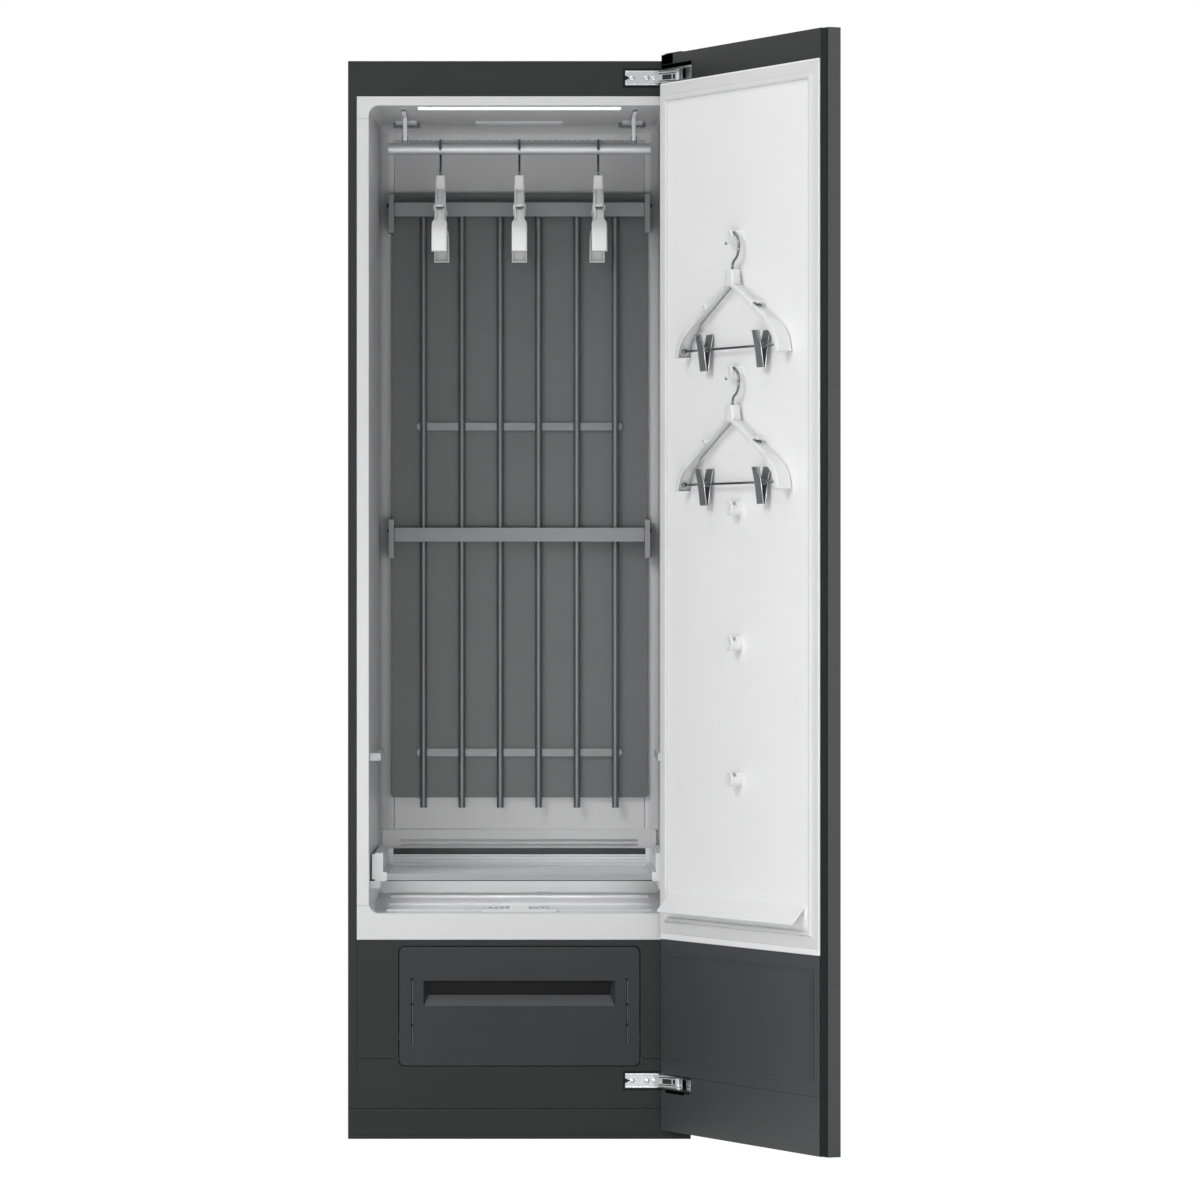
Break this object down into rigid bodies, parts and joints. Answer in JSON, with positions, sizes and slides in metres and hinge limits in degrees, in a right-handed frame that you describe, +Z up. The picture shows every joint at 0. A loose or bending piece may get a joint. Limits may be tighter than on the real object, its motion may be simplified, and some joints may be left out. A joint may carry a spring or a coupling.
{
  "type": "clothes care steam cabinet",
  "caption": "Tall upright clothes care cabinet with a hinged door, hanging rail, trouser press, lift-out shelf and water tank drawer.",
  "frame": {"origin": "centre of the cabinet's footprint on the floor", "axes": "+X to the right seen from the front, +Y towards the back, +Z up; the door stands open towards -Y and +X"},
  "size_m": [0.8277, 1.1168, 1.8819],
  "materials": {
    "casing": "fine satin dark grey coat",
    "galvanised": "plain zinc sheet",
    "liner": "smooth white grey moulding",
    "dark_plastic": "dark grey moulding",
    "cover": "mid grey moulding",
    "rod_metal": "polished tube",
    "board": "smooth grey panel",
    "clamp": "light grey moulding",
    "white_plastic": "smooth white moulding",
    "rubber": "soft grey seal",
    "light": "frosted diffuser",
    "tank": "clear grey tank",
    "hinge_metal": "plated steel",
    "coil": "plain fins on tube",
    "boiler_metal": "plain casting",
    "tube_metal": "satin tube",
    "drawer_panel": "satin dark grey moulding",
    "clip_metal": "bent sheet with a grey coat",
    "machine": "black enamel",
    "circuit": "circuit case"
  },
  "bodies": {
    "cabinet": {"base_pan": "galvanised", "outer_wrapper": "casing", "back_panel": "galvanised", "top_fascia": "casing", "upper_fascia": "casing", "lower_fascia": "casing", "kick_plate": "casing", "ceiling_liner": "liner", "wall_liner": "liner", "floor_basin": "liner", "ceiling_light": "light", "hanger_rod": "rod_metal", "notch_strip": "dark_plastic", "rod_brackets": "rod_metal", "press_board": "board", "clamp_brackets": "clamp", "press_rack": "tube_metal", "rear_grille": "liner", "shelf_supports": "liner", "floor_filter": "dark_plastic", "hinge_arms": "hinge_metal", "compressor": "machine", "heat_exchangers": "coil", "fan_scroll": "white_plastic", "fan_motor": "galvanised", "steam_boiler": "boiler_metal", "water_pumps": "machine", "control_board": "circuit", "rear_duct": "white_plastic", "tank_bay": "white_plastic"},
    "door": {"door_panel": "casing", "door_frame": "dark_plastic", "door_liner": "liner", "door_gasket": "rubber", "door_lower_cover": "cover", "door_hooks": "clamp", "door_deflector": "clamp", "hinge_cups": "hinge_metal", "door_top_cap": "dark_plastic"},
    "tank_drawer": {"drawer_front": "drawer_panel", "drawer_tray": "white_plastic", "supply_tank": "tank", "drain_tank": "tank"},
    "shelf": {"shelf_tray": "clamp"},
    "upper_bar": {"upper_clamp_bar": "clamp"},
    "middle_bar": {"middle_clamp_bar": "clamp"},
    "impeller": {"fan_impeller": "dark_plastic"},
    "coat_1": {"coat_hanger_1": "white_plastic"},
    "coat_2": {"coat_hanger_2": "white_plastic"},
    "coat_3": {"coat_hanger_3": "white_plastic"},
    "trouser_1": {"trouser_hanger_1": "white_plastic"},
    "clip_1_left_body": {"clip_1_left": "clip_metal"},
    "jaw_1_left_body": {"jaw_1_left": "clip_metal"},
    "clip_1_right_body": {"clip_1_right": "clip_metal"},
    "jaw_1_right_body": {"jaw_1_right": "clip_metal"},
    "trouser_2": {"trouser_hanger_2": "white_plastic"},
    "clip_2_left_body": {"clip_2_left": "clip_metal"},
    "jaw_2_left_body": {"jaw_2_left": "clip_metal"},
    "clip_2_right_body": {"clip_2_right": "clip_metal"},
    "jaw_2_right_body": {"jaw_2_right": "clip_metal"}
  },
  "joints": [
    {"name": "door_hinge", "type": "hinge", "parent": "cabinet", "child": "door", "pos_m": [0.276, -0.311, 0.97], "axis": [0, 0, 1], "range_deg": [-115, 0]},
    {"name": "tank_drawer_slide", "type": "slide", "parent": "cabinet", "child": "tank_drawer", "axis": [0, -1, 0], "range_m": [0, 0.22]},
    {"name": "shelf_slide", "type": "slide", "parent": "cabinet", "child": "shelf", "axis": [0, -1, 0], "range_m": [0, 0.07]},
    {"name": "upper_bar_pivot", "type": "hinge", "parent": "cabinet", "child": "upper_bar", "pos_m": [0, 0.1755, 1.6477], "axis": [-1, 0, 0], "range_deg": [0, 75]},
    {"name": "middle_bar_pivot", "type": "hinge", "parent": "cabinet", "child": "middle_bar", "pos_m": [0, 0.1755, 1.0604], "axis": [-1, 0, 0], "range_deg": [0, 75]},
    {"name": "impeller_spin", "type": "hinge", "parent": "cabinet", "child": "impeller", "pos_m": [-0.12, 0.18, 0.215], "axis": [0, 1, 0], "continuous": true},
    {"name": "coat_1_swing", "type": "hinge", "parent": "cabinet", "child": "coat_1", "pos_m": [-0.14, -0.0275, 1.736], "axis": [1, 0, 0], "range_deg": [-4, 4]},
    {"name": "coat_2_swing", "type": "hinge", "parent": "cabinet", "child": "coat_2", "pos_m": [0, -0.0275, 1.736], "axis": [1, 0, 0], "range_deg": [-4, 4]},
    {"name": "coat_3_swing", "type": "hinge", "parent": "cabinet", "child": "coat_3", "pos_m": [0.14, -0.0275, 1.736], "axis": [1, 0, 0], "range_deg": [-4, 4]},
    {"name": "trouser_1_swing", "type": "hinge", "parent": "door", "child": "trouser_1", "pos_m": [0.35941, -0.59043, 1.548], "axis": [-0.9063, -0.4226, 0], "range_deg": [-8, 8]},
    {"name": "trouser_2_swing", "type": "hinge", "parent": "door", "child": "trouser_2", "pos_m": [0.35941, -0.59043, 1.3194], "axis": [-0.9063, -0.4226, 0], "range_deg": [-8, 8]},
    {"name": "clip_1_left_slide", "type": "slide", "parent": "trouser_1", "child": "clip_1_left_body", "axis": [-0.4226, 0.9063, 0], "range_m": [-0.032, 0.032]},
    {"name": "jaw_1_left_hinge", "type": "hinge", "parent": "clip_1_left_body", "child": "jaw_1_left_body", "pos_m": [0.4042, -0.6865, 1.361], "axis": [-0.4226, 0.9063, 0], "range_deg": [0, 20], "stiffness_Nm_per_rad": 0.4, "springref_deg": -11.46},
    {"name": "clip_1_right_slide", "type": "slide", "parent": "trouser_1", "child": "clip_1_right_body", "axis": [-0.4226, 0.9063, 0], "range_m": [-0.032, 0.032]},
    {"name": "jaw_1_right_hinge", "type": "hinge", "parent": "clip_1_right_body", "child": "jaw_1_right_body", "pos_m": [0.31461, -0.49436, 1.361], "axis": [-0.4226, 0.9063, 0], "range_deg": [0, 20], "stiffness_Nm_per_rad": 0.4, "springref_deg": -11.46},
    {"name": "clip_2_left_slide", "type": "slide", "parent": "trouser_2", "child": "clip_2_left_body", "axis": [-0.4226, 0.9063, 0], "range_m": [-0.032, 0.032]},
    {"name": "jaw_2_left_hinge", "type": "hinge", "parent": "clip_2_left_body", "child": "jaw_2_left_body", "pos_m": [0.4042, -0.6865, 1.1324], "axis": [-0.4226, 0.9063, 0], "range_deg": [0, 20], "stiffness_Nm_per_rad": 0.4, "springref_deg": -11.46},
    {"name": "clip_2_right_slide", "type": "slide", "parent": "trouser_2", "child": "clip_2_right_body", "axis": [-0.4226, 0.9063, 0], "range_m": [-0.032, 0.032]},
    {"name": "jaw_2_right_hinge", "type": "hinge", "parent": "clip_2_right_body", "child": "jaw_2_right_body", "pos_m": [0.31461, -0.49436, 1.1324], "axis": [-0.4226, 0.9063, 0], "range_deg": [0, 20], "stiffness_Nm_per_rad": 0.4, "springref_deg": -11.46}
  ]
}
